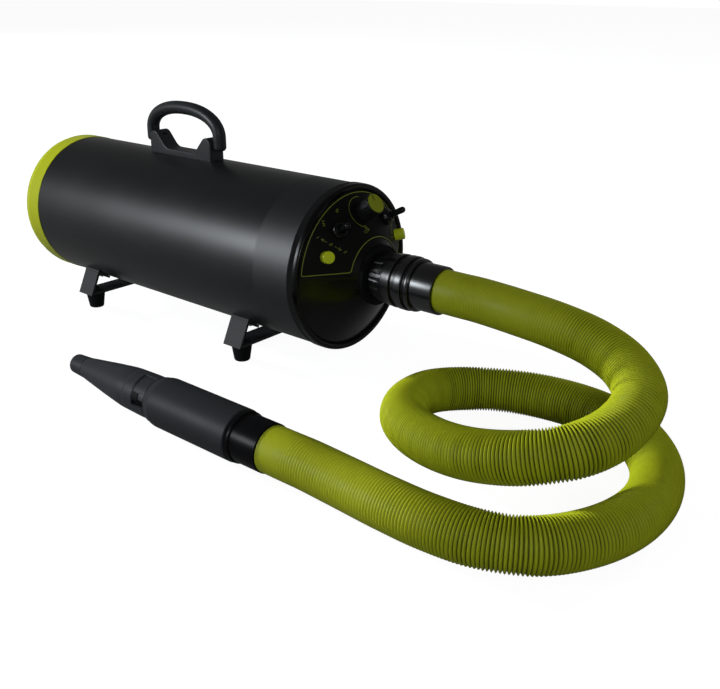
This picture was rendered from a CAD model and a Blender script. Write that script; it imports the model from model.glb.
"""Dressed model of a forced-air pet dryer with a ribbed hose and a hand wand.

The pieces follow one another as the dryer is put together. Lengths are written in
millimetres and become metres where a mesh is made; patterns, lamps and the camera are
written in metres. X runs along the barrel to the outlet.
"""
from math import cos, pi, radians, sin, tan

import bpy
import numpy as np
from mathutils import Matrix


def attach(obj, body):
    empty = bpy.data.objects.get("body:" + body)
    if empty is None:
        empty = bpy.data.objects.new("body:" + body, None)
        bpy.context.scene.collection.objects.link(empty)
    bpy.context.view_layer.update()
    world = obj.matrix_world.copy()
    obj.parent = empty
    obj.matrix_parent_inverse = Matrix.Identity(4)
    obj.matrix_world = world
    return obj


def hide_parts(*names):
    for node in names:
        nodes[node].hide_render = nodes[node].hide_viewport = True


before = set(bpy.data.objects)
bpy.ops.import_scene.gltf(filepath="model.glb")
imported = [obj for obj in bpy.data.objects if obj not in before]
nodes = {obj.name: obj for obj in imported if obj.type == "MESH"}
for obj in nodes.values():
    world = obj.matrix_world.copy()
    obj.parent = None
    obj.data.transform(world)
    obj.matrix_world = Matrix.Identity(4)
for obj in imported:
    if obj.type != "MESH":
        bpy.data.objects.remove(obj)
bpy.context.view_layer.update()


# ---- Barrel ----
# Rolled sheet-steel tube with a satin black powder coat: fine orange peel in the film, a
# little uneven gloss, and a paler haze where hands and cloths have rubbed it.
class Wire:
    """A value on its way between shader nodes; arithmetic on it adds Math nodes."""

    def __init__(self, finish, socket):
        self.finish, self.socket = finish, socket

    def math(self, operation, *values):
        return self.finish.node("Math", {"operation": operation}, values)

    def __add__(self, other):
        return self.math("ADD", self, other)

    def __sub__(self, other):
        return self.math("SUBTRACT", self, other)

    def __rsub__(self, other):
        return self.math("SUBTRACT", other, self)

    def __mul__(self, other):
        return self.math("MULTIPLY", self, other)

    __radd__, __rmul__ = __add__, __mul__


def colour(red, green, blue):
    """A colour written as on screen, 0 to 255, turned into the light it stands for."""
    screen = np.array([red, green, blue]) / 255
    light = np.where(screen <= 0.04045, screen / 12.92, ((screen + 0.055) / 1.055) ** 2.4)
    return (*light.tolist(), 1.0)


class Nodes:
    """A node tree and short ways to add to it."""

    def __init__(self, tree):
        self.tree = tree

    def node(self, kind, settings=None, sockets=(), out=0):
        """Adds a node, sets it up, then gives its sockets values or wires."""
        made = self.tree.nodes.new("ShaderNode" + kind)
        for key, value in (settings or {}).items():
            setattr(made, key, value)
        for key, value in sockets.items() if isinstance(sockets, dict) else enumerate(sockets):
            self.feed(made.inputs[key], value)
        return Wire(self, made.outputs[out])

    def feed(self, socket, value):
        """Links a wire to a socket, or sets a plain value on it."""
        if isinstance(value, Wire):
            self.tree.links.new(value.socket, socket)
        else:
            socket.default_value = value

    def noise(self, scale, detail=2.0, stretch=None):
        """Cloudy noise from 0 to 1 over the piece, stretched along its axes."""
        spot = self.place
        if stretch:
            spot = self.node("Mapping", {}, {"Vector": spot, "Scale": stretch})
        return self.node("TexNoise", {}, {"Vector": spot, "Scale": scale, "Detail": detail})

    def band(self, value, low, high):
        """0 below low, 1 above high, smooth between them."""
        settings = {"interpolation_type": "SMOOTHSTEP"}
        return self.node("MapRange", settings, {"Value": value, "From Min": low, "From Max": high})

    def mix(self, amount, first, second):
        """The first colour where amount is 0, the second where it is 1."""
        return self.node("Mix", {"data_type": "RGBA"}, {0: amount, 6: first, 7: second}, out=2)

    def bump(self, height, depth, strength=1.0):
        """A surface that stands up to depth metres high where height is 1."""
        return self.node("Bump", {}, {"Height": height, "Distance": depth, "Strength": strength})

    def seen(self):
        """1 on camera rays and 1 on mirrored or refracted rays, else 0, as two wires."""
        camera, glossy, through = (
            self.node("LightPath", out=f"Is {kind} Ray") for kind in ("Camera", "Glossy", "Transmission"))
        return camera, glossy.math("MAXIMUM", glossy, through)


class Finish(Nodes):
    """One surface finish: a Principled shader and the nodes that vary it."""

    def __init__(self, name):
        self.material = bpy.data.materials.new(name)
        self.material.use_nodes = True
        super().__init__(self.material.node_tree)
        self.shader = self.tree.nodes["Principled BSDF"]
        self.place = self.node("TexCoord", out="Object")

    def give(self, **sockets):
        """Sets or links the shader's sockets; Base_Color names Base Color."""
        for key, value in sockets.items():
            self.feed(self.shader.inputs[key.replace("_", " ")], value)
        return self


def coat_nodes(finish, *names):
    """Puts a finish on CAD nodes."""
    for name in names:
        nodes[name].data.materials.clear()
        nodes[name].data.materials.append(finish.material)


def powder_coat(name, dark, pale, gloss):
    """Powder coat: orange peel about 1.5 mm across, mottled gloss and a faint rubbed haze."""
    film = Finish(name)
    peel = film.noise(620, 2) + film.noise(2600, 1) * 0.35
    cloud = film.noise(14, 3)
    rub = film.band(film.noise(9, 4, (0.4, 1, 1)), 0.56, 0.74)
    return film.give(
        Base_Color=film.mix(cloud * 0.6 + rub * 0.3, dark, pale),
        Roughness=cloud * 0.10 + (gloss - 0.05) - rub * 0.04,
        Normal=film.bump(peel, 0.00006, 0.5),
        Specular_IOR_Level=0.45)


coat_nodes(powder_coat("powder_black", colour(19, 20, 21), colour(26, 27, 28), 0.36), "barrel")


# ---- Front collar ----
# Short steel band between the barrel and the control face, from another batch of the same
# powder, so the light runs out duller past the fine seam.
coat_nodes(powder_coat("powder_collar", colour(19, 20, 21), colour(25, 26, 28), 0.46), "front_collar")


# ---- Front cap ----
# Injection-moulded ABS cap with a polished cone, a little wavy as such mouldings are, with
# dull patches that fingers leave on the gloss. The rim pressed over its edge is left matt
# round the side and polished where it turns onto the cone.
def moulded(name, base, gloss, grain=0.00002, scale=900, haze=0.05, shine=0.16):
    """Moulded plastic: fine tool grain in the surface and dull patches in the gloss."""
    skin = Finish(name)
    cloud = skin.noise(38, 3)
    pale = [min(1.0, 1.22 * c + 0.001) for c in base[:3]] + [1.0]
    return skin.give(
        Base_Color=skin.mix(skin.noise(11, 2), base, pale),
        Roughness=cloud * haze * 2 + (gloss - haze),
        Normal=skin.bump(skin.noise(scale, 2), grain, 0.45),
        Specular_IOR_Level=shine)


coat_nodes(moulded("gloss_black_cone", colour(9, 9, 9), 0.2, 0.000006, 300, 0.05, 0.2), "front_cap")
MM, AXIS, FACE_X = 0.001, 114.0, 233.0
RIM_IN, RIM_OUT, RIM_START, RIM_END = 84.4, 86.05, 0.8, 12.2
POLISH_START, POLISH_END = 6.6, 7.2


def quads(rows, columns, closed_rows=False):
    """Faces of a grid of rows by columns points whose columns run right round."""
    i, j = np.meshgrid(np.arange(rows - (not closed_rows)), np.arange(columns), indexing="ij")
    here, down, right = i * columns, (i + 1) % rows * columns, (j + 1) % columns
    return np.stack([here + j, down + j, down + right, here + right], -1).reshape(-1, 4)


def shell(grid, closed_rows=False):
    """A closed skin from a grid of rings: its points and faces, with flat ends if it is open."""
    rows, columns = grid.shape[:2]
    faces = [quads(rows, columns, closed_rows)]
    if not closed_rows:
        ring = np.arange(columns)[None, :]
        faces += [ring, (rows - 1) * columns + ring[:, ::-1]]
    return grid.reshape(-1, 3), faces


def volume(points, faces):
    """Signed volume inside the faces, from the cone of each face's fan about the origin."""
    total = 0.0
    for group in faces:
        first = points[group[:, 0]]
        for k in range(1, group.shape[1] - 1):
            total += np.einsum("ij,ij->", first, np.cross(points[group[:, k]], points[group[:, k + 1]]))
    return total / 6


def piece(name, shells, finish, body="root", stands_for=(), crease=38):
    """Makes one mesh of closed skins, turned to face outwards, and puts it on a body."""
    points, faces, base = [], [], 0
    for skin, groups in shells:
        if volume(skin - skin.mean(0), groups) < 0:
            groups = [group[:, ::-1] for group in groups]
        points.append(skin)
        faces += [face for group in groups for face in (group + base).tolist()]
        base += len(skin)
    mesh = bpy.data.meshes.new(name)
    mesh.from_pydata((np.concatenate(points) * MM).tolist(), [], faces)
    mesh.polygons.foreach_set("use_smooth", np.ones(len(faces), bool))
    mesh.set_sharp_from_angle(angle=radians(crease))
    mesh.materials.append(finish.material)
    made = bpy.data.objects.new(name, mesh)
    bpy.context.scene.collection.objects.link(made)
    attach(made, body)
    if stands_for:
        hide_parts(*stands_for)
    return made


def along_barrel(local, x=0.0):
    """Points about a local z axis, laid so that z runs along the barrel from x."""
    return np.stack([local[..., 2] + x, local[..., 1], AXIS - local[..., 0]], -1)


def turned(profile, sides=96, wave=None):
    """Rings of a profile of (radius, height) points carried round the z axis.

    wave, if given, is the change of radius at each (angle, radius, height).
    """
    profile = np.asarray(profile, float)
    turn = np.linspace(0, 2 * pi, sides, endpoint=False)[None, :]
    r, h = profile[:, :1] + 0 * turn, profile[:, 1:] + 0 * turn
    if wave is not None:
        r = r + wave(turn + 0 * r, r, h)
    return np.stack([r * np.cos(turn), r * np.sin(turn), h], -1)


def rounded(corners, radius, closed=True, steps=4):
    """A profile with eased corners: each becomes a parabola that starts and ends radius away."""
    corner = np.asarray(corners, float)
    reach = np.broadcast_to(np.asarray(radius, float), len(corner))[:, None]
    arms = [np.roll(corner, shift, 0) - corner for shift in (1, -1)]
    lengths = [np.linalg.norm(arm, axis=1)[:, None] for arm in arms]
    start, end = (corner + arm * np.minimum(reach, 0.45 * size) / size for arm, size in zip(arms, lengths))
    t = np.linspace(0, 1, steps + 1)[None, :, None]
    curve = (1 - t) ** 2 * start[:, None] + 2 * t * (1 - t) * corner[:, None] + t ** 2 * end[:, None]
    if closed:
        return curve.reshape(-1, 2)
    return np.concatenate([corner[:1], curve[1:-1].reshape(-1, 2), corner[-1:]])


def sleeve(lay, line, sides, x, wave=None):
    """The closed skin of a half section turned round and laid along its tube from x."""
    return shell(lay(turned(line, sides, wave), x), True)


rim_line = rounded([
    (RIM_IN, RIM_START), (RIM_OUT, RIM_START), (RIM_OUT, RIM_END), (81, RIM_END), (78.9, 9.2), (RIM_IN, 5)],
    [0.2, 0.2, 5, 1.8, 0.4, 0.4], steps=8)
rim_black = Finish("gloss_black_rim")
station = rim_black.node("SeparateXYZ", {}, {"Vector": rim_black.place})
polished = rim_black.band(station, (FACE_X + POLISH_START) * MM, (FACE_X + POLISH_END) * MM)
rim_black.give(Base_Color=colour(3, 3, 3), Roughness=1.0 - polished * 0.76, Specular_IOR_Level=0.24)
piece("cap_rim", [sleeve(along_barrel, rim_line, 192, FACE_X)], rim_black)


# ---- Control overlay ----
# Half-ring label of black polycarbonate on the cone, printed in lime: its border, the
# positions of both switches, the sweep of the speed knob and plain numbers.
FACE_ANGLE = 34.5
NORMAL = 90 - FACE_ANGLE
CONTROL_R = 60.0
EDGE_CENTRE, EDGE_X, EDGE_R = 78.0, 0.9, 8.0
TANGENT_R = EDGE_CENTRE + EDGE_R * cos(radians(NORMAL))
TANGENT_X = EDGE_X + EDGE_R * sin(radians(NORMAL))
LABEL_IN, LABEL_OUT, LABEL_HALF = 37.1, 77.4, 83
LABEL_TOP, INK_THICK = 0.45, 0.09
BROAD, FINE, THIN = 0.85, 0.6, 0.45
SWEEP_R, SWEEP_START, SWEEP_END = 16.5, -15, 158
MARKS_AT, ON_AT, OFF_AT = 52, 24, 40


def cone_x(radius):
    """Distance of the cone from the cap's rear edge at a radius from the barrel's axis."""
    return TANGENT_X + (TANGENT_R - radius) * tan(radians(FACE_ANGLE))


def on_cone(places, lift):
    """Places on the cone as (angle from the top towards the front side, radius), lifted off it."""
    a = np.radians(places[:, 0])
    r = places[:, 1] + lift * cos(radians(NORMAL))
    x = FACE_X + cone_x(places[:, 1]) + lift * sin(radians(NORMAL))
    return np.stack([x, -r * np.sin(a), AXIS + r * np.cos(a)], axis=-1)


def unit(vectors):
    """The vectors at a length of 1."""
    return vectors / np.maximum(np.linalg.norm(vectors, axis=-1, keepdims=True), 1e-6)


def stroke(path, width, closed=False):
    """A printed line along (angle, radius) places: a flat bar whose section follows the cone.

    The side of the bar is the cone's normal crossed with the run of the line, lengthened at
    corners by one over the cosine of half the turn.
    """
    path = np.asarray(path, float)
    low, high = on_cone(path, LABEL_TOP), on_cone(path, LABEL_TOP + INK_THICK)
    up = (high - low) / INK_THICK
    ahead = np.roll(low, -1, 0) - low
    behind = low - np.roll(low, 1, 0)
    if not closed:
        ahead[-1], behind[0] = behind[-1], ahead[0]
    run = unit(unit(ahead) + unit(behind))
    reach = width / 2 / np.clip((run * unit(ahead)).sum(1), 0.5, 1)
    side = np.cross(up, run) * reach[:, None]
    return shell(np.stack([low - side, low + side, high + side, high - side], axis=1), closed)


def flat_to_cone(spot):
    """Sideways and upright millimetres from the axis, turned into (angle, radius) places."""
    across, up = spot[:, 0], spot[:, 1]
    return np.stack([np.degrees(np.arctan2(across, up)), np.hypot(across, up)], 1)


def distance(line):
    """How far along a line each of its points is."""
    return np.concatenate([[0], np.cumsum(np.linalg.norm(np.diff(line, axis=0), axis=1))])


def read(line, far):
    """The places on a line that are so far along it."""
    return np.stack([np.interp(far, distance(line), axis) for axis in line.T], 1)


def border(inner, outer, half):
    """The border of the label: two arcs joined by level lines, its corners eased by averaging."""
    drop = outer * cos(radians(half))
    turn_out, turn_in = radians(half), np.arccos(drop / inner)
    a, b = np.linspace(-turn_out, turn_out, 200), np.linspace(turn_in, -turn_in, 120)
    ring = np.concatenate([
        np.stack([outer * np.sin(a), outer * np.cos(a)], 1),
        np.stack([inner * np.sin(b), inner * np.cos(b)], 1)])
    ring = np.vstack([ring, ring[:1]])
    spot = read(ring, np.linspace(0, distance(ring)[-1], 480, endpoint=False))
    for _ in range(4):
        spot = (np.roll(spot, 1, 0) + 2 * spot + np.roll(spot, -1, 0)) / 4
    return flat_to_cone(spot)


# Plain characters as lines on a square 1 high: x to the right, y up.
LETTERS = {
    "0": [[(0.5 + 0.34 * sin(a), 0.5 + 0.5 * cos(a)) for a in np.linspace(0, 2 * pi, 17)]],
    "1": [[(0.28, 0.76), (0.55, 1), (0.55, 0)]],
    "2": [[(0.2, 0.78), (0.3, 0.95), (0.5, 1), (0.72, 0.93), (0.8, 0.74), (0.7, 0.52),
           (0.2, 0), (0.82, 0)]],
    "3": [[(0.2, 1), (0.78, 1), (0.48, 0.6), (0.72, 0.5), (0.8, 0.28), (0.68, 0.06),
           (0.45, 0), (0.2, 0.1)]],
    "4": [[(0.7, 0), (0.7, 1), (0.15, 0.3), (0.88, 0.3)]],
    "N": [[(0.18, 0), (0.18, 1), (0.82, 0), (0.82, 1)]],
    "F": [[(0.2, 0), (0.2, 1), (0.8, 1)], [(0.2, 0.52), (0.66, 0.52)]]}
LETTERS["O"] = LETTERS["0"]


def lettering(text, angle, radius, height):
    """A word centred on the cone at (angle, radius), turned back by the angle to stand upright."""
    made, t = [], radians(-angle)
    for index, letter in enumerate(text):
        for line in LETTERS[letter]:
            spot = (np.array(line) - 0.5) * height * [0.8, 1]
            spot[:, 0] += (index - (len(text) - 1) / 2) * height
            across = spot[:, 0] * cos(t) + spot[:, 1] * sin(t)
            up = (spot[:, 1] * cos(t) - spot[:, 0] * sin(t)) * cos(radians(FACE_ANGLE))
            places = np.stack([angle - np.degrees(across / radius), radius + up], 1)
            made.append(stroke(places, THIN))
    return made


def arrow(start, end, head=2.4, width=THIN):
    """A straight arrow between two (angle, radius) places: its shaft, then its two barbs."""
    start, end = np.array(start, float), np.array(end, float)
    scale = np.array([radians(1) * end[1], 1])
    run = unit((end - start) * scale)
    side = np.array([-run[1], run[0]])
    barbs = [end + (-run * head + side * s * head * 0.55) / scale for s in (-1, 1)]
    return [stroke(np.linspace(start, end, 8), width), stroke([barbs[0], end, barbs[1]], width)]


def knob_sweep(radius, first, last):
    """An arc round the knob between two angles, counted from straight up towards the front side."""
    turn = np.radians(np.linspace(first, last, 40))
    spot = np.stack([
        radius * np.sin(turn), CONTROL_R + radius * np.cos(turn) * cos(radians(FACE_ANGLE))], 1)
    return flat_to_cone(spot)


coat_nodes(moulded("overlay_black", colour(14, 14, 12), 0.5, 0.000008, 1500, 0.05, 0.09), "control_overlay")
ink = Finish("lime_ink")
ink.give(
    Base_Color=ink.mix(ink.noise(500, 2), colour(112, 120, 30), colour(132, 141, 38)),
    Roughness=ink.noise(300, 1) * 0.2 + 0.4)
sweep = knob_sweep(SWEEP_R, SWEEP_START, SWEEP_END)
prints = [stroke(border(LABEL_IN, LABEL_OUT, LABEL_HALF), BROAD, closed=True), stroke(sweep, FINE)]
prints += arrow(sweep[-3], sweep[-1] * 2 - sweep[-3], 2.8, FINE)[1:]
for hand in (-1, 1):
    at = hand * MARKS_AT
    for sign, radius, height in (("O", 60, 3.2), ("1", 72, 2.8), ("2", 46.8, 2.8)):
        prints += lettering(sign, at, radius, height)
    prints += arrow((at, 63.5), (at, 69)) + arrow((at, 56.5), (at, 50.5))
    prints += lettering("ON", hand * ON_AT, 71.5, 2.3) + lettering("OFF", hand * OFF_AT, 73.5, 2.3)
prints += lettering("1234", 8, 44.5, 2.4)
piece("overlay_print", prints, ink)


# ---- Rear cap ----
# Injection-moulded lime ABS cap whose lip slips into the end of the barrel. A fine spark
# texture takes the edge off its gloss.
CAP_X = -219.0
coat_nodes(moulded("lime_gloss", colour(198, 206, 38), 0.36, 0.00001, 1400, 0.06), "rear_cap")


# ---- Intake grille and filter ----
# Black ABS spider that keeps fingers out of the intake, and behind it a washable disc of
# open-cell foam, a little crowned between the rings of the grille.
satin_black = moulded("satin_black", colour(22, 23, 24), 0.46, 0.00002, 1100, 0.06)
coat_nodes(satin_black, "intake_grille")
FILTER_X, FILTER_R, FILTER_THICK, RING_PITCH = CAP_X + 6, 62.0, 10.0, 12.25


def foam(name, pale, dark):
    """Open-cell foam: round cells about 1.5 mm wide, dark where they open."""
    cells = Finish(name)
    spots = cells.node("TexVoronoi", {}, {"Vector": cells.place, "Scale": 620.0})
    pores = cells.band(spots, 0.15, 0.5)
    return cells.give(
        Base_Color=cells.mix(pores, dark, pale),
        Roughness=0.95,
        Normal=cells.bump(pores, 0.0006, 0.8))


foam_grey = foam("foam_grey", colour(62, 64, 67), colour(20, 21, 22))
rings = np.linspace(0.5, FILTER_R - 1, 44)
sink = 0.3 * (1 - np.cos(2 * pi * rings / RING_PITCH)) * (rings < FILTER_R - 3)
edge = [(-0.2, 0.6), (-0.05, 2), (-0.05, FILTER_THICK - 2), (-0.2, FILTER_THICK - 0.6)]
filter_line = np.concatenate([
    np.stack([rings, sink], 1), np.array(edge) + [FILTER_R, 0],
    np.stack([rings, FILTER_THICK - sink], 1)[::-1]])
filter_pad = piece(
    "filter_pad", [shell(along_barrel(turned(filter_line), FILTER_X))], foam_grey,
    stands_for=["intake_filter"])


# ---- Foam liner ----
# Sleeve of acoustic foam between the motor and the barrel, about 8 mm thick. It is cut like
# an egg tray on its inner side and left plain at both ends.
LINER_START, LINER_END = -147.95, -34.05
LINER_OUT, LINER_IN, PLAIN_END = 83.45, 75.6, 3
HOLLOW, HOLLOWS_ROUND, HOLLOW_PITCH = 2.4, 24, 19


def tray(turn, r, h):
    """Hollows set like an egg tray's: 1 plus a cosine round the liner times one along it."""
    kept = (h > LINER_START + PLAIN_END) & (h < LINER_END - PLAIN_END)
    return HOLLOW * (1 + np.cos(HOLLOWS_ROUND * turn) * np.cos(2 * pi * h / HOLLOW_PITCH)) * kept


x = np.linspace(LINER_START, LINER_END, 70)
outside = turned(np.stack([LINER_OUT + 0 * x, x], 1), 144)
inside = turned(np.stack([LINER_IN + 0 * x, x], 1), 144, tray)
liner = piece(
    "acoustic_liner", [shell(along_barrel(np.concatenate([outside, inside[::-1]])), True)],
    foam("foam_liner_dark", colour(48, 50, 54), colour(16, 17, 18)),
    stands_for=["foam_liner"], crease=80)


# ---- Motor ----
# Spun and die-cast aluminium housings, a zinc-plated shaft and hardware, a wound stator, a
# laminated armature with its commutator, and brass brush holders.
def metal(name, base, gloss, stretch=None, scale=260):
    """Bare or plated metal: streaks along its working direction and a clouded gloss."""
    face = Finish(name)
    line = face.noise(scale, 3, stretch)
    cloud = face.noise(30, 2)
    dull = [0.72 * c for c in base[:3]] + [1.0]
    return face.give(
        Base_Color=face.mix(line * 0.5 + cloud * 0.5, dull, base),
        Roughness=line * 0.24 + cloud * 0.1 + (gloss - 0.12),
        Normal=face.bump(line, 0.00003, 0.4),
        Metallic=1.0)


coat_nodes(metal("zinc_plated", colour(196, 200, 202), 0.34),
           "motor_bearings", "speed_shaft", "speed_nut", "strap_rivets", "handle_screws")
coat_nodes(metal("cast_aluminium", colour(176, 180, 182), 0.5, None, 1500),
           "motor_frame", "fan_housing", "motor_bulkhead")
coat_nodes(metal("spun_aluminium", colour(200, 203, 205), 0.3, (1, 12, 12), 120), "impeller", "diffuser")
coat_nodes(metal("copper_windings", colour(184, 108, 58), 0.36, (1, 1, 9), 420), "stator")
coat_nodes(metal("laminated_steel", colour(128, 132, 136), 0.46, (60, 1, 1), 60), "armature")
coat_nodes(metal("brass", colour(190, 158, 82), 0.32), "brush_holders")
rubber = moulded("rubber_black", colour(14, 15, 16), 0.72, 0.00004, 1300, 0.06, 0.1)
coat_nodes(rubber, "motor_gasket", "tail_mount")


# ---- Heater ----
# Resistance wire wound as a close spring and led in four hoops through holes in two crossed
# mica boards.
mica = Finish("mica_board")
flakes = mica.node("TexVoronoi", {}, {"Vector": mica.place, "Scale": 240.0}, out=1)
mica.give(
    Base_Color=mica.mix(mica.noise(90, 3), colour(196, 180, 140), colour(226, 214, 182)),
    Roughness=mica.noise(160, 2) * 0.3 + 0.3,
    Normal=mica.bump(flakes.math("FRACT", flakes), 0.00002, 0.4))
coat_nodes(mica, "heater_frame")
COIL_X, HOOP_R, HOOP_PITCH, COIL_R, WIRE_R, WINDINGS = 10.0, 55.0, 14.0, 3.5, 0.42, 84


def winding(x):
    """A helix whose axis is a hoop: a fine wire carried round the hoop on a small circle."""
    a = np.linspace(0, 2 * pi, WINDINGS * 12, endpoint=False)[:, None]
    b, c = a * WINDINGS, np.linspace(0, 2 * pi, 5, endpoint=False)[None, :]
    out = COIL_R - WIRE_R + WIRE_R * np.cos(c)
    r = HOOP_R + out * np.cos(b)
    height = out * np.sin(b)
    tilt = WIRE_R * np.sin(c) / HOOP_R
    grid = np.stack([r * np.cos(a + tilt), r * np.sin(a + tilt), height + 0 * r], -1)
    return shell(along_barrel(grid, x), True)


wire = metal("heater_wire", colour(150, 152, 155), 0.4)
piece("heater_winding", [winding(COIL_X + HOOP_PITCH * i) for i in range(4)], wire,
      stands_for=["heater_coil"], crease=80)


# ---- Control board and mains gland ----
# Glass-epoxy board under green solder mask, a nylon gland for the mains lead, and the black
# cases of the breakers and the speed control.
board = Finish("board_green")
tracks = board.node("TexWave", {"wave_type": "BANDS", "bands_direction": "DIAGONAL"},
                    {"Vector": board.place, "Scale": 90.0, "Distortion": 6.0, "Detail": 1.0})
board.give(
    Base_Color=board.mix(board.band(tracks, 0.45, 0.6), colour(20, 84, 52), colour(36, 112, 70)),
    Roughness=board.noise(200, 1) * 0.15 + 0.28)
coat_nodes(board, "control_board")
coat_nodes(satin_black, "cable_gland", "gland_nut", "breaker_left", "breaker_right", "speed_control")


# ---- Handle base ----
# Glass-filled nylon saddle, screwed down from inside the barrel. Its section is one outline
# carried across the width and drawn in at both faces, and its foot follows the barrel.
HANDLE_X, BASE_HALF, BASE_W = -4.5, 52.0, 20.0
BARREL_R = 85.0
CHEEK_Z, SCOOP_Z = AXIS + BARREL_R + 24.4, AXIS + BARREL_R + 6.2
CHEEK_R, SCOOP_R, SLOPE = 8.0, 14.0, 48.0


def arc(centre, radius, first, last, count):
    """Points on an arc between two angles in degrees."""
    a = np.radians(np.linspace(first, last, count))
    return np.stack([centre[0] + radius * np.cos(a), centre[1] + radius * np.sin(a)], 1)


def saddle():
    """Rings of the outline, the outer ones inset along its normals by a quarter circle."""
    drop = CHEEK_Z - CHEEK_R - SCOOP_Z - SCOOP_R
    slant = radians(SLOPE)
    reach = (CHEEK_R + SCOOP_R) * sin(slant) + (drop + (CHEEK_R + SCOOP_R) * cos(slant)) / tan(slant)
    cheek = (BASE_HALF - CHEEK_R, CHEEK_Z - CHEEK_R)
    valley = (cheek[0] - reach, SCOOP_Z + SCOOP_R)
    right = np.concatenate([
        arc(valley, SCOOP_R, 270, 270 + SLOPE, 12), arc(cheek, CHEEK_R, 90 + SLOPE, 0, 20),
        [[BASE_HALF, CHEEK_Z - CHEEK_R - 8]]])
    line = np.concatenate([[[-BASE_HALF, 0]], right[::-1] * [-1, 1], right, [[BASE_HALF, 0]]])
    run = unit(np.roll(line, -1, 0) - np.roll(line, 1, 0))
    inward = np.stack([run[:, 1], -run[:, 0]], 1)
    inward[[0, -1]] = [[1, 0], [-1, 0]]
    ease, steps = 1.6, np.radians(np.linspace(0, 90, 6))
    inset = np.concatenate([ease * (1 - np.sin(steps)), ease * (1 - np.sin(steps))[::-1]])
    y = ease * (1 - np.cos(steps)) - BASE_W / 2
    y = np.concatenate([y, -y[::-1]])
    grid = line[None] + inset[:, None, None] * inward[None]
    floor = AXIS + np.sqrt((BARREL_R + 0.05) ** 2 - y ** 2)
    grid[:, [0, -1], 1] = floor[:, None]
    return np.stack([grid[..., 0] + HANDLE_X, y[:, None] + 0 * grid[..., 0], grid[..., 1]], -1)


handle_nylon = moulded("handle_satin", colour(38, 39, 41), 0.42, 0.00003, 1000, 0.05, 0.22)
piece("handle_saddle", [shell(saddle())], handle_nylon, stands_for=["handle_base"])


# ---- Handle bail ----
# Round nylon grip that springs over two steel pins in the cheeks and folds down on them.
# The arch is a flattened semi-ellipse, and its legs have rounded ends.
PIVOT_Z, BAIL_HALF, BAIL_R = 217.0, 57.0, 7.25
BAIL_LEG, BAIL_RISE, BAIL_END, END_ROUND = 6.5, 34.6, 7.0, 4.0
CHEEK_GAP, FLAT_H = BASE_HALF + 0.3, BASE_W / 2 + 1.4


def bail_arch():
    """Sections square to the line x = -half cos^0.9, z = leg + rise sin^0.9 and its two legs.

    The section's radius draws in by a quarter circle at the foot of each leg, and its inner
    side is flat beside the cheek.
    """
    a = np.linspace(0, pi, 121)
    x = -BAIL_HALF * np.sign(np.cos(a)) * np.abs(np.cos(a)) ** 0.9
    z = BAIL_LEG + (BAIL_RISE - BAIL_LEG) * np.abs(np.sin(a)) ** 0.9
    edge = np.radians(np.linspace(84, 12, 7))
    rise = np.linspace(END_ROUND - BAIL_END, BAIL_LEG, 12)[:-1]
    leg = np.concatenate([END_ROUND * (1 - np.sin(edge)) - BAIL_END, rise])
    thin = np.concatenate([END_ROUND * (1 - np.cos(edge)), 0 * rise])
    line = np.concatenate([
        np.stack([-BAIL_HALF + 0 * leg, leg], 1), np.stack([x, z], 1),
        np.stack([BAIL_HALF + 0 * leg, leg[::-1]], 1)])
    radius = BAIL_R - np.concatenate([thin, 0 * x, thin[::-1]])
    run = unit(np.gradient(line, axis=0))
    turn = np.linspace(0, 2 * pi, 48, endpoint=False)
    out = np.stack([-run[:, 1], run[:, 0]], 1)[:, None] * (np.cos(turn) * radius[:, None])[..., None]
    grid = np.stack([
        line[:, None, 0] + out[..., 0], np.sin(turn) * radius[:, None], line[:, None, 1] + out[..., 1]], -1)
    side, far = np.sign(grid[..., 0]), np.abs(grid[..., 0])
    grid[..., 0] = side * np.where(grid[..., 2] < FLAT_H, np.maximum(far, CHEEK_GAP), far)
    return grid


piece("carry_grip", [shell(bail_arch() + [HANDLE_X, 0, PIVOT_Z])], handle_nylon, "bail",
      ["handle_bail"], crease=42)
coat_nodes(metal("black_oxide", colour(26, 26, 27), 0.5), "bail_pivots")


# ---- Legs and feet ----
# Flat steel bar, bent and powder coated, riveted under the barrel. Each foot is a rubber
# cone moulded with a chamfered sole and a parting ring, held by a zinc-plated screw with a
# cross recess, down through the bar.
coat_nodes(powder_coat("strap_grey", colour(24, 25, 27), colour(31, 32, 34), 0.7),
           "leg_strap_front", "leg_strap_rear")
FOOT_X, FOOT_Y, FOOT_H, FOOT_R, FOOT_BORE, SOLE = 133.0, 54.5, 19.5, 11.25, 2.55, 5.5
STRAP_TOP, HEAD_R, HEAD_H, SHANK_R, SHANK_LEN = 22.5, 4.7, 2.9, 2.5, 16.5
foot_line = rounded([
    (0.4, 0), (7.9, 0), (8.75, 0.9), (11.15, 16.4), (11.15, 17.2), (FOOT_R, 17.6), (FOOT_R, FOOT_H),
    (FOOT_BORE, FOOT_H), (FOOT_BORE, SOLE), (0.4, SOLE)],
    [0, 0.4, 0.8, 0.4, 0.2, 0.2, 0.7, 0.3, 0.3, 0], closed=False)


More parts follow.
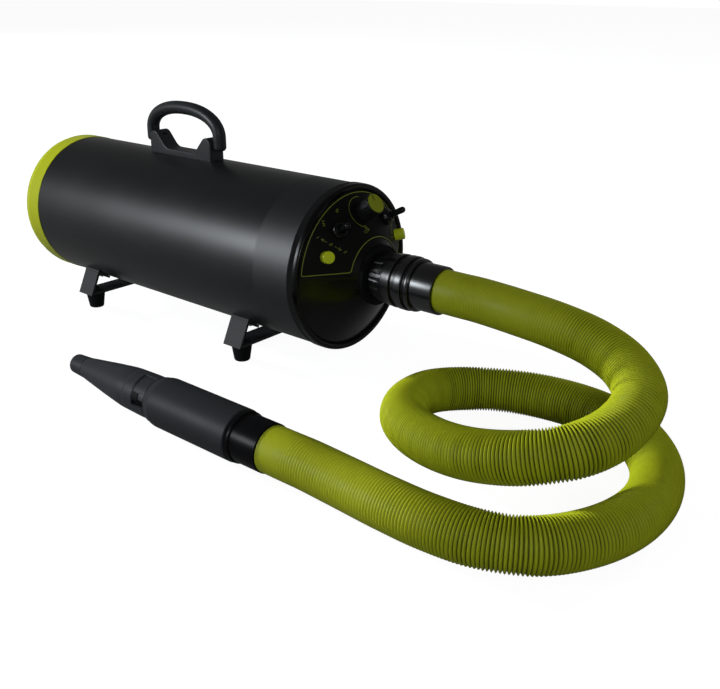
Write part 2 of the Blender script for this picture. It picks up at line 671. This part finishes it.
def pan_head():
    """Rings of a screw from the middle of its head, over the dome and down the shank.

    Its cross recess is two slots, sunk by a smooth step across the width of each.
    """
    reach = 0.62 * HEAD_R
    r = np.concatenate([np.linspace(0.06, reach, 16), np.linspace(reach, HEAD_R, 14)[1:]])
    dome = HEAD_H * (1 - 0.45 * (r / HEAD_R) ** 4)
    turn = np.linspace(0, 2 * pi, 64, endpoint=False)[None]
    across = np.minimum(abs(np.sin(turn)), abs(np.cos(turn))) * r[:, None]
    slot = 1 / (1 + np.exp((across - HEAD_R * 0.13) * 14)) * (r[:, None] < reach)
    top = dome[:, None] - slot * HEAD_H * 0.55
    head = np.stack([r[:, None] * np.cos(turn), r[:, None] * np.sin(turn), top], -1)
    body = turned([(HEAD_R, 0.15), (HEAD_R - 0.2, 0), (SHANK_R, 0), (SHANK_R, -SHANK_LEN)], 64)
    return np.concatenate([head, body])


for end, x in (("front", FOOT_X), ("rear", -FOOT_X)):
    for hand, y in (("left", FOOT_Y), ("right", -FOOT_Y)):
        name = f"foot_{end}_{hand}"
        piece(name.replace("foot", "rubber_foot"), [shell(turned(foot_line, 72) + [x, y, 0])], rubber,
              stands_for=[name])
places = [(x, y, STRAP_TOP) for x in (-FOOT_X, FOOT_X) for y in (-FOOT_Y, FOOT_Y)]
piece("foot_fixings", [shell(pan_head() + place) for place in places],
      metal("dark_zinc", colour(84, 87, 90), 0.42), stands_for=["foot_screws"])


# ---- Toggle switches ----
# Black-plated bushings, dress nuts with round grooves pressed into their rims, and lacquered
# bat levers that rock on a pin.
def on_face(local, angle):
    """Points in a frame on the cone: z out along its normal, x down its slope."""
    a, n = radians(angle), radians(NORMAL)
    x = local[..., 0] * cos(n) + local[..., 2] * sin(n) + FACE_X + cone_x(CONTROL_R)
    z = local[..., 2] * cos(n) - local[..., 0] * sin(n) + CONTROL_R
    y = local[..., 1]
    return np.stack([x, y * cos(a) - z * sin(a), y * sin(a) + z * cos(a) + AXIS], -1)


def grooves_on_nut(turn, r, h):
    """Twelve round grooves pressed into the outer side of the nut, short of its chamfer."""
    return -0.3 * (0.5 + 0.5 * np.cos(12 * turn)) ** 2 * ((h > 0.2) & (h < 5.2) & (r > 7))


TOGGLE_AT, NUT_SEAT, NUT_BORE, NUT_TOP = 36.9, 0.45, 6.05, 6.4
nut_line = rounded([
    (NUT_BORE, NUT_SEAT), (8.5, NUT_SEAT), (8.5, 3.05), (7.5, 5.45), (6.9, NUT_TOP), (NUT_BORE, NUT_TOP)],
    [0.1, 0.35, 0.5, 0.4, 0.3, 0.2], steps=5)
lacquer = moulded("lacquer_black", colour(20, 21, 22), 0.34, 0.00001, 900, 0.04, 0.2)
bushing = moulded("bushing_black", colour(16, 16, 17), 0.28, 0.000004, 700, 0.04, 0.3)
nut = turned(nut_line, 144, grooves_on_nut)
piece("toggle_dress_nuts", [shell(on_face(nut, side * TOGGLE_AT), True) for side in (-1, 1)], bushing,
      stands_for=["dress_nuts"])
coat_nodes(bushing, "toggle_body_left", "toggle_body_right")
PIVOT, BALL, LEVER_TIP, LEVER_LEN, LEVER_FOOT = 1.6, 4.5, 3.25, 24, -6.4
PIN_R, PIN_HALF = 0.9, 5.5
tip_arc, ball_arc = np.radians(np.linspace(88, 0, 10)), np.radians(np.linspace(57.8, -69.2, 16))
lever_line = np.concatenate([
    np.stack([LEVER_TIP * np.cos(tip_arc), LEVER_LEN - LEVER_TIP + LEVER_TIP * np.sin(tip_arc)], 1),
    [(3.1, 13), (2.95, 11.6), (2.5, 10.2), (2.4, 9)],
    np.stack([BALL * np.cos(ball_arc), PIVOT + BALL * np.sin(ball_arc)], 1),
    [(1.6, LEVER_FOOT), (0.3, LEVER_FOOT)]])
pin = turned([(0.2, -PIN_HALF), (PIN_R, -PIN_HALF), (PIN_R, PIN_HALF), (0.2, PIN_HALF)], 24)
pin = pin[..., [0, 2, 1]] * [1, 1, -1] + [0, 0, PIVOT]
forms = (turned(lever_line, 48), pin)
for hand, side in (("left", -1), ("right", 1)):
    piece(f"bat_lever_{hand}", [shell(on_face(form, side * TOGGLE_AT)) for form in forms], lacquer,
          f"toggle_{hand}", [f"toggle_lever_{hand}"])


# ---- Speed knob ----
# Black phenolic knob with pressed flutes and a lime disc let into its top, which carries a
# plain pointer line.
SEAT_H, SEAT_R, SKIRT_H, KNOB_FOOT = 19.0, 9.85, 5.4, 1.2
knob_line = rounded([
    (0.4, SEAT_H), (SEAT_R, SEAT_H), (SEAT_R, 20.2), (10.45, 20.2), (10.95, 19.5), (11.1, SKIRT_H),
    (11.5, 2), (11.1, KNOB_FOOT), (8, KNOB_FOOT), (8, 5), (3.05, 5), (3.05, 14), (0.4, 14)],
    [0, 0.1, 0.15, 0.4, 0.5, 0.8, 0.5, 0.3, 0.3, 0.2, 0.2, 0.2, 0], closed=False)


def flutes_on_knob(turn, r, h):
    """Eighteen flutes between the skirt and the top edge, fading out at both ends."""
    fade = np.clip((h - SKIRT_H - 0.2) / 1.2, 0, 1) * np.clip((SEAT_H + 0.2 - h) / 0.8, 0, 1) * (r > 10.2)
    return -0.3 * (0.5 + 0.5 * np.cos(18 * turn)) ** 1.5 * fade


def dense(profile, step):
    """The same profile with points no further apart than step."""
    profile = np.asarray(profile, float)
    run = distance(profile)
    return read(profile, np.unique(np.concatenate([run, np.arange(0, run[-1], step)])))


piece("knob_shell", [shell(on_face(turned(dense(knob_line, 1.0), 144, flutes_on_knob), 0))], lacquer,
      "knob", ["speed_knob"])
coat_nodes(moulded("disc_lime", colour(132, 140, 34), 0.5, 0.000004, 900, 0.04, 0.05), "knob_disc")
MARK_FROM, MARK_TO, MARK_HALF, DISC_TOP = -9.0, -3.1, 0.6, 20.0
mark = np.array([[x, y, h] for x in (MARK_FROM, MARK_TO) for y in (-MARK_HALF, MARK_HALF)
                 for h in (DISC_TOP, DISC_TOP + 0.56)])
mark_faces = np.array([[0, 1, 3, 2], [4, 6, 7, 5], [0, 4, 5, 1], [2, 3, 7, 6], [0, 2, 6, 4], [1, 5, 7, 3]])
piece("knob_pointer", [(on_face(mark, 0), [mark_faces])], lacquer, "knob")


# ---- Reset buttons ----
# Polished lime acetal caps of the breakers' reset buttons, slightly domed on top, each with
# a thin stem that runs in to its breaker.
BUTTON_AT, BUTTON_R, BUTTON_H, BUTTON_FOOT = 64.6, 6.0, 10.5, -5.7
BUTTON_EDGE, STEM_R, STEM_END = 1.2, 2.4, BUTTON_FOOT - 9
top = np.linspace(0.3, BUTTON_R - BUTTON_EDGE, 8)
rim = np.radians(np.linspace(10, 90, 7))
button_line = np.concatenate([
    np.stack([top, BUTTON_H - 0.25 * (top / BUTTON_R) ** 2], 1),
    np.stack([BUTTON_R + BUTTON_EDGE * (np.sin(rim) - 1), BUTTON_H - 1.4 + BUTTON_EDGE * np.cos(rim)], 1),
    [(BUTTON_R, 4), (BUTTON_R, BUTTON_FOOT + 0.3), (BUTTON_R - 0.3, BUTTON_FOOT), (STEM_R, BUTTON_FOOT),
     (STEM_R, STEM_END), (0.3, STEM_END)]])
button_lime = moulded("button_lime", colour(200, 212, 40), 0.24, 0.000004, 900, 0.04)
for hand, side in (("left", -1), ("right", 1)):
    piece(f"reset_cap_{hand}", [shell(on_face(turned(button_line, 72), side * BUTTON_AT))], button_lime,
          f"button_{hand}", [f"reset_button_{hand}"])


# ---- Outlet spout and bayonet band ----
# Glossy glass-filled nylon. The spout has moulded flutes for a grip, and the band turns on
# it to lock the hose cuff.
coat_nodes(rubber, "outlet_seal")
spout_black = moulded("spout_black", colour(10, 10, 11), 0.23, 0.000004, 500, 0.03, 0.8)
SPOUT_X, SPOUT_R, FLUTES, CUTTER_R = 280.981, 24.3, 20, 2.0
STEP_X, SPOUT_LEN, SPIGOT_X, LIP_X, BORE_R = 17.8, 28.3, -13.8, 37.3, 17.0
spout_line = rounded([
    (BORE_R, SPIGOT_X), (19.5, SPIGOT_X), (19.5, 0), (SPOUT_R, 0), (SPOUT_R + 1.25, STEP_X),
    (SPOUT_R + 1.75, STEP_X + 0.4), (SPOUT_R + 2.5, SPOUT_LEN), (21, SPOUT_LEN), (21, LIP_X),
    (BORE_R, LIP_X)],
    [0.4, 0.4, 0.2, 0.9, 0.3, 0.3, 1, 0.3, 0.4, 0.4])


def flutes_on_spout(turn, r, h):
    """Each flute is the path of a round cutter run along the spout just outside its skin."""
    pitch = 2 * pi / FLUTES
    off = (turn / pitch) % 1 - 0.5
    centre = SPOUT_R + 1.8
    reach = centre * np.sin(off * pitch)
    floor = centre * np.cos(off * pitch) - np.sqrt(np.maximum(CUTTER_R ** 2 - reach ** 2, 0))
    cut = np.where(abs(reach) < CUTTER_R, np.clip(r - floor, 0, 0.4), 0)
    return -cut * np.clip((h - 1.6) / 1.2, 0, 1) * np.clip((STEP_X - 1.6 - h) / 1.2, 0, 1) * (r > 22)


piece("fluted_spout", [sleeve(along_barrel, dense(spout_line, 0.9), 320, SPOUT_X, flutes_on_spout)],
      spout_black, stands_for=["outlet_spout"])
BAND_X, BAND_R, BAND_LEN, RIDGE_START, RIDGE_END = SPOUT_X + SPOUT_LEN, 27.0, 16.2, 5.2, 14
band_line = rounded([
    (21.3, 0), (24.7, 0), (24.7, RIDGE_START), (BAND_R, RIDGE_START), (BAND_R, RIDGE_END), (24.3, RIDGE_END),
    (24.3, BAND_LEN), (BORE_R, BAND_LEN), (BORE_R, 9.5), (21.3, 9.5)],
    [0.3, 0.4, 0.5, 1, 1, 0.5, 0.3, 0.3, 0.3, 0.3])
piece("locking_band", [sleeve(along_barrel, band_line, 128, BAND_X)], spout_black,
      stands_for=["bayonet_band"])


# ---- Hose cuffs ----
# Glossy PVC cuffs screwed and glued over the ends of the hose, each with a rolled bead. The
# wand's cuff is dulled by handling and carries a short socket for the wand tube.
def cuff(radius, bead_r, bead_len, length):
    """Half section of a cuff: a bead, round but flattened across, then a plain skirt."""
    half, flat = bead_len / 2, 0.42
    bead = arc((half, 0), half, 180, 0, 14)
    bead = np.stack([bead_r + (bead[:, 1] - half) * flat, bead[:, 0]], 1)
    skirt = rounded([
        (BORE_R, 0), (radius, bead_len), (radius, bead_len + 1.2), (radius, length), (BORE_R, length)],
        [0, 0, 0.8, 1, 0.3], closed=False)
    return np.concatenate([[[BORE_R, 0], [bead[0, 0], 0]], bead[1:-1], skirt[2:]])


CUFF_LEN, WAND_CUFF_LEN = 30.7, 33.7
CUFF_X, WAND_CUFF_X = BAND_X + BAND_LEN, 298.3
HOSE_X0, HOSE_X1 = CUFF_X + CUFF_LEN, WAND_CUFF_X + WAND_CUFF_LEN
WAND_Y, WAND_Z = -209.0, 24.1
SOCKET_BORE, SOCKET_START, SOCKET_END = 14.5, -14, 3


def along_wand(local, x=0.0):
    """Points about a local z axis, laid so that z runs along the wand from x."""
    return np.stack([local[..., 2] + x, local[..., 1] + WAND_Y, WAND_Z - local[..., 0]], -1)


piece("outlet_cuff", [sleeve(along_barrel, cuff(23.5, 26.2, 5.8, CUFF_LEN), 128, CUFF_X)], spout_black,
      stands_for=["hose_cuff_outlet"])
socket = rounded([
    (SOCKET_BORE, SOCKET_START), (16.45, SOCKET_START), (16.45, 0.2), (18, 0.2), (18, SOCKET_END),
    (SOCKET_BORE, SOCKET_END)], 0.3)
worn_black = moulded("worn_black", colour(16, 16, 17), 0.3, 0.000008, 500, 0.03, 0.05)
wand_cuff = piece(
    "wand_cuff", [sleeve(along_wand, cuff(22, 23.4, 4.4, WAND_CUFF_LEN), 128, WAND_CUFF_X),
                  sleeve(along_wand, socket, 96, WAND_CUFF_X)],
    worn_black, stands_for=["hose_cuff_wand"])


# ---- Hose ----
# Thin polyurethane wall over a sprung steel helix, lime all through. The turns lie close and
# shallow where the hose runs straight and open into round ribs in the bends, where dust
# settles in the grooves between them.
HOSE_ROUTE = np.array([
    (HOSE_X0, 0, AXIS), (HOSE_X0 + 21, 0, AXIS), (HOSE_X0 + 43, 0, AXIS), (437, 0, 112), (477, -1, 109),
    (516, -6, 104), (550, -20, 96), (573, -47, 86), (574, -86, 75), (558, -119, 66), (527, -139, 57),
    (489, -145, 48), (451, -138, 40), (414, -122, 34), (384, -97, 29), (366, -63, 25), (367, -27, 23),
    (391, 5, 21.5), (425, 25, 21.5), (463, 35, 21.5), (503, 35, 21.5), (541, 22, 21.5), (571, -4, 21.5),
    (592, -37, 21.5), (603, -76, 21.5), (602, -116, 21.5), (589, -154, 21.5), (565, -186, 21.5),
    (531, -204, 21.5), (492, -210, 21.5), (452, -210, 21.5), (412, -209, 22.5),
    (HOSE_X1 + 43, WAND_Y, WAND_Z), (HOSE_X1 + 21, WAND_Y, WAND_Z), (HOSE_X1, WAND_Y, WAND_Z)])
HOSE_R, RIBS, RIB_DEPTH, RIB_STEPS, SIDES = 21.1, 460, 2.6, 4, 44
SHUT, STRAIGHT, BEND_OPEN = 0.08, 0.001, 170.0


def smooth_line(route, steps=12):
    """A curve through the route: on each span a cubic set by the points before and after it."""
    a, b = np.vstack([route[:1], route[:-2]]), route[:-1]
    c, d = route[1:], np.vstack([route[2:], route[-1:]])
    t = (np.arange(steps) / steps)[None, :, None]
    a, b, c, d = (p[:, None] for p in (a, b, c, d))
    square, cube = 2 * a - 5 * b + 4 * c - d, 3 * b - a - 3 * c + d
    curve = 0.5 * (2 * b + (c - a) * t + square * t ** 2 + cube * t ** 3)
    return np.vstack([curve.reshape(-1, 3), route[-1:]])


def hose_rings(centre, radius):
    """Rings square to the line, each with its own radius and an upright that stays up."""
    run = np.gradient(centre, axis=0)
    run[0], run[-1] = (1, 0, 0), (-1, 0, 0)
    side = unit(np.cross([0, 0, 1], run))
    up = np.cross(unit(run), side)
    turn = np.linspace(0, 2 * pi, SIDES, endpoint=False)[None, :, None]
    ring = side[:, None] * np.cos(turn) + up[:, None] * np.sin(turn)
    return centre[:, None] + ring * np.broadcast_to(radius, len(centre))[:, None, None]


hose_line = smooth_line(HOSE_ROUTE)
hose_length = distance(hose_line)[-1]
centre = read(hose_line, np.linspace(0, hose_length, RIBS * RIB_STEPS + 1))
run = np.gradient(centre, axis=0)
curve = np.linalg.norm(np.gradient(run, axis=0), axis=1) / np.linalg.norm(run, axis=1) ** 2
window = np.hanning(121)
curve = np.convolve(np.pad(curve, len(window) // 2, mode="edge"), window / window.sum(), "valid")
opened = SHUT + (1 - SHUT) * np.clip((curve - STRAIGHT) * BEND_OPEN, 0, 1)
crest = np.take([0, 0.62, 1, 0.62], np.arange(len(centre)) % RIB_STEPS)
outer = hose_rings(centre, HOSE_R - RIB_DEPTH * opened * (1 - crest))
bore = hose_rings(read(hose_line, np.linspace(0, hose_length, 181)), BORE_R)
skin = shell(np.concatenate([outer, bore[::-1]]), True)

lime_hose = Finish("hose_lime")
turns, gape = (
    lime_hose.node("SeparateXYZ", {}, {"Vector": lime_hose.node("UVMap", {"uv_map": layer})})
    for layer in ("unrolled", "opened"))
wobble = lime_hose.noise(70, 3)
dust = lime_hose.band(wobble, 0.35, 0.7)
groove = (1 - lime_hose.band(turns.math("PINGPONG", turns, 0.5), 0.03, 0.27)) * gape
lime_hose.give(
    Base_Color=lime_hose.mix(
        groove * (dust * 0.2 + 0.8), lime_hose.mix(wobble, colour(172, 180, 32), colour(183, 191, 38)),
        colour(44, 48, 11)),
    Roughness=dust * 0.12 + 0.46,
    Normal=lime_hose.bump(lime_hose.noise(2300, 1), 0.00005, 0.4),
    Specular_IOR_Level=0.1)
hose = piece("ribbed_hose", [skin], lime_hose, stands_for=["hose"], crease=180)

corner = np.empty(len(hose.data.loops), int)
hose.data.loops.foreach_get("vertex_index", corner)
ring_of, spoke = corner // SIDES, corner % SIDES
along_rib = np.where(ring_of < len(outer), ring_of / RIB_STEPS, RIBS)
wide = np.append(opened, np.full(len(bore), 0.5))[ring_of]
for layer, values in (("unrolled", (along_rib, spoke / SIDES)), ("opened", (wide, 0 * wide))):
    uv = hose.data.uv_layers.new(name=layer)
    uv.data.foreach_set("uv", np.stack(values, 1).astype(np.float32).ravel())
HOSE_X0 * MM


# ---- Wand grip and nozzle ----
# Soft-touch sleeve over the wand tube, and a blow-moulded nozzle that locks on the tube's
# lug through an L-shaped slot. The nozzle's skirt is a little recessed beside the slot.
soft_touch = moulded("soft_touch", colour(46, 47, 49), 0.5, 0.00005, 1700, 0.05, 0.11)
GRIP_X, GRIP_LEN, GRIP_R, GRIP_BORE = 189.3, 107.5, 24.1, 18.45
grip_line = rounded([
    (GRIP_BORE, 0), (22.4, 0), (22.7, 3), (GRIP_R, 8), (GRIP_R, GRIP_LEN), (GRIP_BORE, GRIP_LEN)],
    [0.3, 0.8, 2.2, 4, 1.2, 0.3], steps=6)
piece("grip_cover", [sleeve(along_wand, grip_line, 128, GRIP_X)], soft_touch,
      stands_for=["grip_sleeve"])
coat_nodes(moulded("tube_black", colour(8, 8, 8), 0.5, 0.000004, 900, 0.04, 0.06), "wand_tube")


def cut_shell(outside, inside, keep):
    """A thick skin between two grids of rings, with walls wherever a kept cell meets a cut one."""
    rows, columns = outside.shape[:2]
    i, j = np.meshgrid(np.arange(rows), np.arange(columns), indexing="ij")
    out = i * columns + j
    inn = out + rows * columns
    right = np.roll(out, -1, 1)
    right_in = np.roll(inn, -1, 1)
    faces = [np.stack([out[:-1], out[1:], right[1:], right[:-1]], -1)[keep],
             np.stack([inn[:-1], right_in[:-1], right_in[1:], inn[1:]], -1)[keep]]
    ends = np.diff(np.pad(keep.astype(int), ((1, 1), (0, 0))), axis=0)
    sides = keep.astype(int) - np.roll(keep.astype(int), 1, 1)
    ring_wall = np.stack([out, right, right_in, inn], -1)
    line_wall = np.stack([out[1:], out[:-1], inn[:-1], inn[1:]], -1)
    for wall, sign in ((ring_wall, ends), (line_wall, sides)):
        faces += [wall[sign > 0], wall[sign < 0][:, ::-1]]
    return np.concatenate([outside.reshape(-1, 3), inside.reshape(-1, 3)]), faces


NOZZLE_X, NOZZLE_LEN, MOUTH_BORE, MOUTH_LEN, RECESS_R = 76.6, 111, 7.8, 19.2, 20.1
outer_line = np.array([
    (0, 10.5), (0.5, 10.85), (5, 11.6), (23.2, 14.1), (40.9, 16.6), (57, 18.6), (68, 19.9), (73, 20.2),
    (97, 20.9), (110, 20.9), (110.7, 20.7), (NOZZLE_LEN, 20.3)])
inner_line = np.array([
    (0, MOUTH_BORE), (14, MOUTH_BORE), (79.9, 16.55), (80, 18.55), (NOZZLE_LEN, 18.55)])
# Each cut in the skirt: where it starts along the nozzle, where the slot ends, two angles.
RECESS, SLOT, EXIT_SLOT = (93.2, 2, 58), (93.5, 103.6, 60, 96), (94.8, 76, 95.5)
x = np.unique(np.concatenate([
    outer_line[:, 0], inner_line[:, 0], np.arange(0, NOZZLE_LEN, 2.0), SLOT[:2],
    [RECESS[0] - 0.15, RECESS[0] + 0.15]]))
angle = np.unique(np.concatenate([
    np.arange(0, 360, 3.0), SLOT[2:], EXIT_SLOT[1:], [1.6, 2.4, 57.6, 58.4]]))
top = np.radians(angle)[None, :]
eased = np.interp(x, outer_line[:, 0], outer_line[:, 1])
softer = (eased[:-2] + 2 * eased[1:-1] + eased[2:]) / 4
eased[1:-1] = np.where((x[1:-1] > 1) & (x[1:-1] < 90), softer, eased[1:-1])
sunk = (x[:, None] > RECESS[0]) & (angle[None, :] > RECESS[1]) & (angle[None, :] < RECESS[2])
outer_r = np.where(sunk, np.minimum(eased[:, None], RECESS_R), eased[:, None])
inner_r = np.interp(x, inner_line[:, 0], inner_line[:, 1])[:, None] + 0 * top


def about_wand(r):
    """Points at a radius from the wand's axis for each place along it and angle from the top."""
    return np.stack([
        x[:, None] + NOZZLE_X + 0 * r, WAND_Y - r * np.sin(top), WAND_Z + r * np.cos(top)], -1)


mid_x, mid_a = (x[:-1] + x[1:])[:, None] / 2, (angle + np.roll(angle, -1))[None, :] / 2
slot = (mid_x > SLOT[0]) & (mid_x < SLOT[1]) & (mid_a > SLOT[2]) & (mid_a < SLOT[3])
slot |= (mid_x > EXIT_SLOT[0]) & (mid_a > EXIT_SLOT[1]) & (mid_a < EXIT_SLOT[2])
nozzle_black = moulded("nozzle_black", colour(51, 52, 55), 0.45, 0.00003, 1200, 0.05, 0.13)
piece("slotted_nozzle", [cut_shell(about_wand(outer_r), about_wand(inner_r), ~slot)], nozzle_black,
      "nozzle_body", ["nozzle"], crease=30)
mouth_line = rounded([
    (MOUTH_BORE, 0), (9.8, 0), (9.85, 1.5), (10.8, 18.9), (10.3, MOUTH_LEN), (MOUTH_BORE, MOUTH_LEN)],
    [0.4, 0.7, 0.6, 0.4, 0.2, 0.2])
piece("nozzle_mouth_ring", [sleeve(along_wand, mouth_line, 96, NOZZLE_X - MOUTH_LEN)], nozzle_black,
      "nozzle_body", ["nozzle_tip"])


# ---- Table, light and camera ----
# White table that keeps the dryer's shadow, in a white room that the gloss sees dimmer. The
# soft box at the left front has a twin for the gloss alone, and a small one stands before the
# controls. The lamps at the side and behind light the colours without showing in the gloss.
TABLE_HALF, TABLE_GREY, TABLE_SEEN, TABLE_MIRRORED = 20, 0.22, 0.94, 0.09
ROOM_LOW, ROOM_DROP, ROOM_FILL, LAMP_TINT = 0.3, 0.2, 0.11, (0.9, 0.95, 1.0)
scene = bpy.context.scene
scene.view_settings.view_transform = "Standard"
room = bpy.data.worlds.new("room")
room.use_nodes = True
scene.world = room
studio = Nodes(room.node_tree)
camera_ray, mirror_ray = studio.seen()
height = studio.node("SeparateXYZ", {}, {"Vector": studio.node("TexCoord")}, out="Z")
sky = ROOM_LOW - studio.band(height, 0.02, 0.5) * ROOM_DROP
light = mirror_ray * sky + (1 - mirror_ray) * ROOM_FILL
background = room.node_tree.nodes["Background"].inputs
studio.feed(background["Color"], (1, 1, 1, 1))
studio.feed(background["Strength"], camera_ray + (1 - camera_ray) * light)

corners = [(x * TABLE_HALF, y * TABLE_HALF, 0) for x, y in ((-1, -1), (1, -1), (1, 1), (-1, 1))]
table_mesh = bpy.data.meshes.new("table")
table_mesh.from_pydata(corners, [], [(0, 1, 2, 3)])
table = bpy.data.objects.new("table", table_mesh)
scene.collection.objects.link(table)
table_top = Finish("table_white")
camera_ray, mirror_ray = table_top.seen()
table_top.give(
    Base_Color=(TABLE_GREY, TABLE_GREY, TABLE_GREY, 1), Roughness=0.9, Specular_IOR_Level=0.0,
    Emission_Color=(1, 1, 1, 1), Emission_Strength=camera_ray * TABLE_SEEN + mirror_ray * TABLE_MIRRORED)
table_mesh.materials.append(table_top.material)


def facing(place, back, roll=0.0):
    """A matrix at a place that looks away from back, level but for its roll."""
    back = unit(np.array(back))
    side = unit(np.cross([0, 0, 1], back))
    up = np.cross(back, side)
    matrix = np.eye(4)
    matrix[:3, 0] = cos(roll) * side + sin(roll) * up
    matrix[:3, 1] = cos(roll) * up - sin(roll) * side
    matrix[:3, 2], matrix[:3, 3] = back, place
    return Matrix(matrix.tolist())


def soft_box(name, place, size, power, aim=(0.2, 0, 0.1), gloss=True, tone=True):
    """A rectangular lamp at a place, turned to face its aim, that lights gloss, tone or both."""
    lamp = bpy.data.lights.new(name, "AREA")
    lamp.shape, lamp.energy, lamp.color = "RECTANGLE", power, LAMP_TINT
    lamp.size, lamp.size_y = size
    box = bpy.data.objects.new(name, lamp)
    scene.collection.objects.link(box)
    box.visible_glossy, box.visible_diffuse = gloss, tone
    box.matrix_world = facing(place, np.array(place) - np.array(aim))


for name, power, tone in (("key", 11, True), ("key_strip", 56, False)):
    soft_box(name, (-1.25, -2.2, 0.94), (0.65, 0.52), power, tone=tone)
soft_box("front", (1.45, -1.55, 0.85), (0.35, 0.35), 7)
soft_box("side", (-5.84, -0.99, 1.43), (0.6, 0.6), 490, (0.45, -0.08, 0.1), gloss=False)
soft_box("back", (0.9, 2.3, 0.9), (0.6, 0.4), 14, gloss=False)

CAMERA_AT, SENSOR, FOCAL_LENGTH = (0.79425, -0.66354, 0.381), 36.0, 44.067
YAW, PITCH, ROLL = radians(39.108), radians(22.162), radians(0.613)
lens = bpy.data.cameras.new("camera")
lens.sensor_fit, lens.sensor_width, lens.lens = "HORIZONTAL", SENSOR, FOCAL_LENGTH
camera = bpy.data.objects.new("camera", lens)
scene.collection.objects.link(camera)
camera.matrix_world = facing(
    CAMERA_AT, [sin(YAW) * cos(PITCH), -cos(YAW) * cos(PITCH), sin(PITCH)], ROLL)
scene.camera = camera
